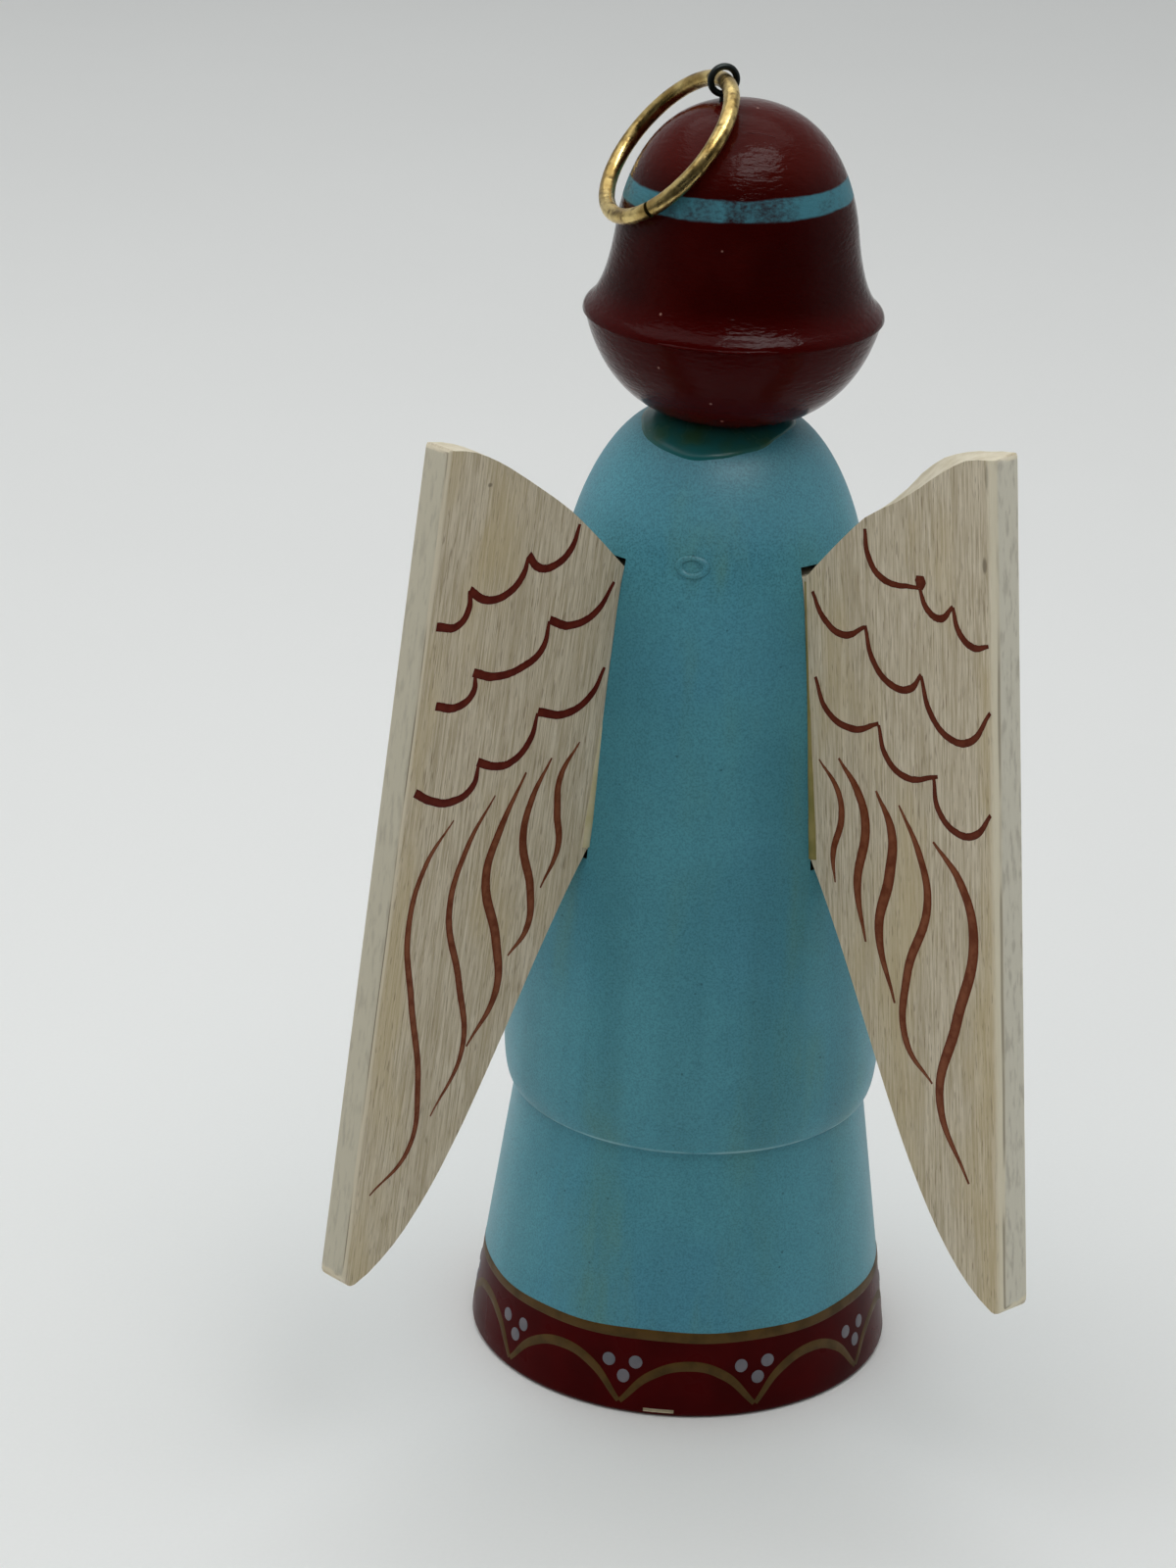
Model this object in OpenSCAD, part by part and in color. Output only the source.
// Turned wooden angel ornament, in millimetres. A lathe-turned gown and head are joined by a dowel,
// two sawn wing boards are glued into slots in the back, and a wire ring hangs from a screw eye.
// The figure stands on z = 0, faces -Y, and has its wings on the +Y side. Its left is +X.

/* [Gown] */
// Diameter of the gown where it stands
base_d = 39; // [36:0.5:44]
// Rounding of the bottom edge
base_edge = 0.5; // [0.2:0.1:1.2]
// Height of the skirt up to the lip of the tunic
skirt_h = 25.2; // [20:0.2:32]
// Diameter of the skirt where it runs under the tunic
skirt_top_d = 32.2; // [29:0.2:33.4]
// Largest diameter of the tunic
tunic_d = 34.6; // [34:0.2:38]
// Height from the lip to the largest diameter of the tunic
lip_rise = 5.5; // [3:0.5:9]
// Distance that the lip's lower edge is tucked in from the tunic's side
lip_tuck = 0.4; // [0.1:0.1:0.8]
// Height of the chest, where the sides start to round in
chest_z = 75; // [70:0.5:77]
// Diameter at the chest
chest_d = 27.2; // [24:0.2:30]
// Height of the gown up to the seat of the head
gown_h = 89.7; // [86:0.1:94]
// Diameter of the flat seat under the head
seat_d = 10; // [8:0.5:12]

/* [Head] */
// Height of the head from its seat to the crown
head_h = 27.5; // [26:0.1:30]
// Diameter at the curled ends of the hair
head_d = 26.2; // [25:0.2:29]
// Height of the curl above the seat
curl_h = 8.9; // [7.5:0.1:10]
// Step of the crease under the curl
crease = 0.2; // [0.1:0.05:0.5]
// Height of the rounded curl
curl_round = 1.1; // [0.8:0.1:1.5]
// Distance that the curl rounds in to the flare above it
curl_tuck = 0.7; // [0.4:0.1:1.2]
// Diameter at the temples, where the dome starts
temple_d = 21; // [19.5:0.2:22]
// Height of the temples above the seat
temple_h = 16.3; // [14.5:0.1:18]
// Distance of the head's axis to the right of the gown's axis
head_shift = 0.6; // [0:0.1:1.2]

/* [Neck dowel] */
// Diameter of the dowel
dowel_d = 5; // [3:0.5:7]
// Length of the dowel, half in the gown and half in the head
dowel_len = 16; // [10:1:22]
// Chamfer of the dowel's ends
dowel_chamfer = 0.6; // [0.2:0.1:1]

/* [Wings] */
// Thickness of a wing board
wing_t = 3; // [2:0.1:4]
// Angle of each wing from the middle of the back
wing_angle = 43; // [30:1:60]
// Tilt of the left wing from the line of the gown's side, with its tip outwards
left_tilt = 1; // [-3:0.1:3]
// Tilt of the right wing from the line of the gown's side, with its tip outwards
right_tilt = -0.3; // [-3:0.1:3]
// Height of the lower end of a wing's root
root_z = 52.8; // [48:0.2:56]
// Height of a wing's root along the gown
root_h = 25.4; // [18:0.2:26]
// Depth of the root in its slot
root_depth = 3.5; // [2:0.1:5]
// Width of a wing from the gown to its outer edge
wing_w = 23; // [18:0.2:30]
// Rise of the left wing's top edge above its root
left_rise = 11.8; // [8:0.2:18]
// Rise of the right wing's top edge above its root
right_rise = 13.8; // [8:0.2:18]
// Drop of the left wing's tip below its root
left_drop = 37.3; // [28:0.1:42]
// Drop of the right wing's tip below its root
right_drop = 36.3; // [28:0.1:42]
// Rounding of the lower tip
tip_round = 1.5; // [0.8:0.1:3]
// Rounding of the top outer corner
corner_round = 0.6; // [0.2:0.1:2]
// Length by which a slot runs past each end of the root
slot_over = 0.9; // [0.2:0.1:2]

/* [Screw eye] */
// Diameter of the eye's wire
eye_wire_d = 0.6; // [0.5:0.05:0.9]
// Diameter of the eye's hole
eye_hole_d = 1.75; // [1.7:0.05:2.5]
// Height of the bare neck between the crown and the loop
eye_neck = 0.3; // [0.1:0.05:1]
// Distance of the eye to the left of the head's axis
eye_shift = 1.8; // [0:0.1:2.5]
// Turn of the eye's hole from straight back towards the figure's right
eye_turn = 22; // [0:1:45]
// Open gap where the end of the loop stops short of the neck
eye_open = 0.35; // [0.1:0.05:0.8]
// Length of the shank in the head
shank_len = 7; // [4:0.5:9]

/* [Hanging ring] */
// Outer diameter of the ring
ring_d = 16; // [14:0.5:20]
// Diameter of the ring's wire
ring_wire_d = 1.4; // [1:0.05:1.5]
// Gap at the cut where the ring's ends meet
ring_cut = 0.35; // [0.1:0.05:1]
// Angle from the eye to the cut, round the ring
ring_cut_at = 135; // [60:5:300]
// Gap left between the resting ring and the hair
ring_rest_gap = 0.15; // [0.1:0.05:0.5]

/* [Fits] */
// Glue gap round the dowel, the shank and the wing roots
glue_gap = 0.05; // [0.02:0.01:0.15]
// Room left at the blind end of each hole and slot
end_gap = 0.5; // [0.2:0.1:1]

/* [Hidden] */
$fn = 96;
// Length by which a cut runs out past the surface
cut_past = 1;
// Points on a profile curve, on a small rounding and on the finer line that the ring is tested against
curve_steps = 14;
round_steps = 5;
test_steps = 40;
// Halvings used to find a place on a curve, and the spacing of the test points round the ring
solve_steps = 22;
test_angle = 6;

// A cubic curve: it leaves point p along one handle and arrives at point q along the other
function cubic(p, leave, arrive, q) = [p, p + leave, q - arrive, q];
function curve_at(c, t) = pow(1 - t, 3) * c[0] + 3 * pow(1 - t, 2) * t * c[1]
    + 3 * (1 - t) * t * t * c[2] + pow(t, 3) * c[3];
function curve(c, steps = curve_steps) = [for (i = [1:steps]) curve_at(c, i / steps)];
// The share of the way along a curve at which it has risen to height z
function share_at(c, z, lo = 0, hi = 1, k = solve_steps) = let (mid = (lo + hi) / 2)
    k == 0 ? mid
    : curve_at(c, mid)[1] < z ? share_at(c, z, mid, hi, k - 1)
    : share_at(c, z, lo, mid, k - 1);
function radius_at(c, z) = curve_at(c, share_at(c, z))[0];
function arc_degrees(length, radius) = length / radius * 180 / PI;

// Gown: curves of radius and height. An ease is a handle's share of the curve's own width or height
base_r = base_d / 2;
seat_r = seat_d / 2;
tunic_r = tunic_d / 2;
chest_r = chest_d / 2;
skirt_r = skirt_top_d / 2;
swell_z = skirt_h + lip_rise;
shoulder_h = gown_h - chest_z;
shoulder_w = chest_r - seat_r;
chest_lean = [-0.13, 1];
lip_ease = 0.67;
side_ease = 0.3;
shoulder_ease = 0.52;
seat_ease = 0.45;
seat_fall = 0.027;
side_pull = (chest_z - swell_z) * side_ease;
lip_curve = cubic(
    [skirt_r, skirt_h],
    [tunic_r - lip_tuck - skirt_r, 0],
    [0, lip_rise * lip_ease],
    [tunic_r, swell_z]
);
side_curve = cubic([tunic_r, swell_z], [0, side_pull], side_pull * chest_lean, [chest_r, chest_z]);
shoulder_curve = cubic(
    [chest_r, chest_z],
    shoulder_h * shoulder_ease * chest_lean,
    [-shoulder_w * seat_ease, shoulder_h * seat_fall],
    [seat_r, gown_h]
);
gown_outline = concat(
    [[0, 0], [base_r - base_edge, 0], [base_r, base_edge]],
    [lip_curve[0]],
    curve(lip_curve),
    curve(side_curve),
    curve(shoulder_curve),
    [[0, gown_h]]
);

// Head: curves of radius and height, round its own axis
head_x = -head_shift;
head_r = head_d / 2;
temple_r = temple_d / 2;
curl_z = gown_h + curl_h;
temple_z = gown_h + temple_h;
crown_z = gown_h + head_h;
flare_z = curl_z + curl_round;
flare_r = head_r - curl_tuck;
bowl_lean = [0.22, 1];
flare_lean = [-1, 1.2];
temple_lean = [-0.12, 1];
foot_ease = 0.45;
foot_rise = 0.08;
rim_ease = 0.55;
curl_ease = 0.5;
flare_ease = 0.5;
temple_ease = 0.45;
dome_ease = 0.5;
crown_ease = 0.67;
bowl_curve = cubic(
    [seat_r, gown_h],
    [(head_r - seat_r) * foot_ease, curl_h * foot_rise],
    curl_h * rim_ease * bowl_lean,
    [head_r - crease, curl_z]
);
curl_curve = cubic(
    [head_r, curl_z],
    [0, curl_round * curl_ease],
    curl_tuck * curl_ease * [-1, 1],
    [flare_r, flare_z]
);
flare_curve = cubic(
    [flare_r, flare_z],
    (flare_r - temple_r) * flare_ease * flare_lean,
    (temple_z - flare_z) * temple_ease * temple_lean,
    [temple_r, temple_z]
);
dome_curve = cubic(
    [temple_r, temple_z],
    (crown_z - temple_z) * dome_ease * temple_lean,
    [-temple_r * crown_ease, 0],
    [0, crown_z]
);
head_outline = concat(
    [[0, gown_h], bowl_curve[0]],
    curve(bowl_curve),
    [curl_curve[0]],
    curve(curl_curve),
    curve(flare_curve),
    curve(dome_curve)
);

// Wing root: a straight line between two heights on the gown's surface
root_top_z = root_z + root_h;
root_low = [radius_at(side_curve, root_z), root_z];
root_top = [radius_at(root_top_z < chest_z ? side_curve : shoulder_curve, root_top_z), root_top_z];
root_len = norm(root_top - root_low);
wing_splay = atan2(root_low[0] - root_top[0], root_h);
// Wing outline: x runs from the root to the outer edge, y runs up along the root
round_ease = 0.6;
round_fall = 0.2;
lower_leave = [0.32, -0.36];
lower_arrive = [0.42, -0.12];
upper_leave = [-0.36, 0];
upper_arrive = [-0.1, -0.14];
function sized(share, width, height) = [share[0] * width, share[1] * height];
function lower_edge(drop) = cubic(
    [0, 0],
    sized(lower_leave, wing_w, drop),
    sized(lower_arrive, wing_w, drop),
    [wing_w - tip_round, -drop]
);
function tip_edge(drop) = cubic(
    [wing_w - tip_round, -drop],
    tip_round * [round_ease, -round_fall],
    [0, tip_round * round_ease],
    [wing_w, tip_round - drop]
);
function corner_edge(rise) = cubic(
    [wing_w, root_len + rise - corner_round],
    [0, corner_round * round_ease],
    corner_round * [-round_ease, -round_fall],
    [wing_w - corner_round, root_len + rise - corner_round * round_fall]
);
function upper_edge(rise) = cubic(
    corner_edge(rise)[3],
    sized(upper_leave, wing_w, rise),
    sized(upper_arrive, wing_w, rise),
    [0, root_len]
);
function wing_outline(rise, drop) = concat(
    [[-root_depth, root_len], [-root_depth, 0], [0, 0]],
    curve(lower_edge(drop)),
    curve(tip_edge(drop), round_steps),
    [corner_edge(rise)[0]],
    curve(corner_edge(rise), round_steps),
    curve(upper_edge(rise))
);

// Screw eye: the loop stands on the dome, with its hole level and turned about the vertical
eye_x = head_x + eye_shift;
eye_loop_r = (eye_hole_d + eye_wire_d) / 2;
eye_open_angle = arc_degrees(eye_open, eye_loop_r);
// The share of the way up the dome at which it has narrowed to radius r
function dome_share(r, lo = 0, hi = 1, k = solve_steps) = let (mid = (lo + hi) / 2)
    k == 0 ? mid
    : curve_at(dome_curve, mid)[0] > r ? dome_share(r, mid, hi, k - 1)
    : dome_share(r, lo, mid, k - 1);
eye_foot_z = curve_at(dome_curve, dome_share(eye_shift))[1];
eye_pt = [eye_x, 0, eye_foot_z + eye_neck + eye_wire_d / 2 + eye_loop_r];
hole_dir = [-sin(eye_turn), cos(eye_turn), 0];
lean_dir = [cos(eye_turn), sin(eye_turn), 0];

// Hanging ring: it swings about the eye's hole, and at rest it leans on the hair with a small gap
ring_r = (ring_d - ring_wire_d) / 2;
ring_cut_angle = arc_degrees(ring_cut, ring_r);
hair_line = concat([flare_curve[0]], curve(flare_curve, test_steps), curve(dome_curve, test_steps));
hair_radius = [for (p = hair_line) [p[1], p[0]]];
function ring_dir(lean) = sin(lean) * lean_dir - [0, 0, cos(lean)];
function ring_point(lean, a) = eye_pt + ring_r * ((1 - cos(a)) * ring_dir(lean) + sin(a) * hole_dir);
// Distance of a point from the hair, below zero inside it
function hair_gap(p) = let (q = [norm([p[0] - head_x, p[1]]), p[2]])
    (q[0] < lookup(q[1], hair_radius) ? -1 : 1) * min([for (h = hair_line) norm(q - h)]);
// Least gap between the ring and the hair, away from the part of the ring that is in the eye
function ring_gap(lean) = min([
    for (a = [5 * test_angle:test_angle:360 - 5 * test_angle]) hair_gap(ring_point(lean, a))
]) - ring_wire_d / 2;
// The lean from straight down, on one side of the head, at which the ring just clears the hair
function rest_lean(side, lo = 5, hi = 110, k = solve_steps) = let (mid = (lo + hi) / 2)
    k == 0 ? hi
    : ring_gap(side * mid) < ring_rest_gap ? rest_lean(side, mid, hi, k - 1)
    : rest_lean(side, lo, mid, k - 1);
ring_lean = rest_lean(1);
ring_swing = 360 - ring_lean - rest_lean(-1);
echo(ring_hinge = eye_pt, hinge_axis = -hole_dir, ring_lean = ring_lean, ring_swing = ring_swing);

// A wing's place on the gown: side is 1 for the left wing and -1 for the right one
module at_wing(side, tilt) {
    rotate([0, 0, 90 - side * wing_angle])
        translate([root_low[0], 0, root_z])
            rotate([0, -wing_splay - tilt, 0])
                rotate([90, 0, 0])
                    children();
}

module wing_slot() {
    linear_extrude(height = wing_t + 2 * glue_gap, center = true)
        translate([-root_depth - end_gap, -slot_over])
            square([root_depth + end_gap + tunic_r, root_len + 2 * slot_over]);
}

module wing_board(rise, drop) {
    linear_extrude(height = wing_t, center = true)
        polygon(wing_outline(rise, drop));
}

module dowel_hole(from_z, to_z) {
    translate([head_x, 0, from_z])
        cylinder(d = dowel_d + 2 * glue_gap, h = to_z - from_z);
}

module gown() {
    color("#6aa9be")
        difference() {
            rotate_extrude() polygon(gown_outline);
            dowel_hole(gown_h - dowel_len / 2 - end_gap, gown_h + cut_past);
            at_wing(1, left_tilt) wing_slot();
            at_wing(-1, right_tilt) wing_slot();
        }
}

module head() {
    color("#5a1512")
        difference() {
            translate([head_x, 0, 0]) rotate_extrude() polygon(head_outline);
            dowel_hole(gown_h - cut_past, gown_h + dowel_len / 2 + end_gap);
            translate([eye_x, 0, eye_foot_z - shank_len - end_gap])
                cylinder(d = eye_wire_d + 2 * glue_gap, h = shank_len + end_gap + cut_past);
        }
}

module neck_dowel() {
    color("#d8b98a")
        translate([head_x, 0, gown_h - dowel_len / 2])
            rotate_extrude()
                polygon([
                    [0, 0],
                    [dowel_d / 2 - dowel_chamfer, 0],
                    [dowel_d / 2, dowel_chamfer],
                    [dowel_d / 2, dowel_len - dowel_chamfer],
                    [dowel_d / 2 - dowel_chamfer, dowel_len],
                    [0, dowel_len]
                ]);
}

module left_wing() {
    color("#cdc4ae")
        at_wing(1, left_tilt) wing_board(left_rise, left_drop);
}

module right_wing() {
    color("#cdc4ae")
        at_wing(-1, right_tilt) wing_board(right_rise, right_drop);
}

module screw_eye() {
    color("#26292a")
        union() {
            translate(eye_pt)
                rotate([0, 0, eye_turn])
                    rotate([90, 0, 0])
                        rotate([0, 0, -90])
                            rotate_extrude(angle = 360 - eye_open_angle)
                                translate([eye_loop_r, 0]) circle(d = eye_wire_d);
            translate([eye_x, 0, eye_foot_z - shank_len])
                cylinder(d = eye_wire_d, h = eye_pt[2] - eye_loop_r - eye_foot_z + shank_len);
        }
}

module hanging_ring() {
    color("#a8863c")
        translate(eye_pt + ring_r * ring_dir(ring_lean))
            rotate([0, 0, eye_turn])
                rotate([0, 90 - ring_lean, 0])
                    rotate([0, 0, 180 - ring_cut_at + ring_cut_angle / 2])
                        rotate_extrude(angle = 360 - ring_cut_angle)
                            translate([ring_r, 0]) circle(d = ring_wire_d);
}

gown();
head();
neck_dowel();
left_wing();
right_wing();
screw_eye();
hanging_ring();
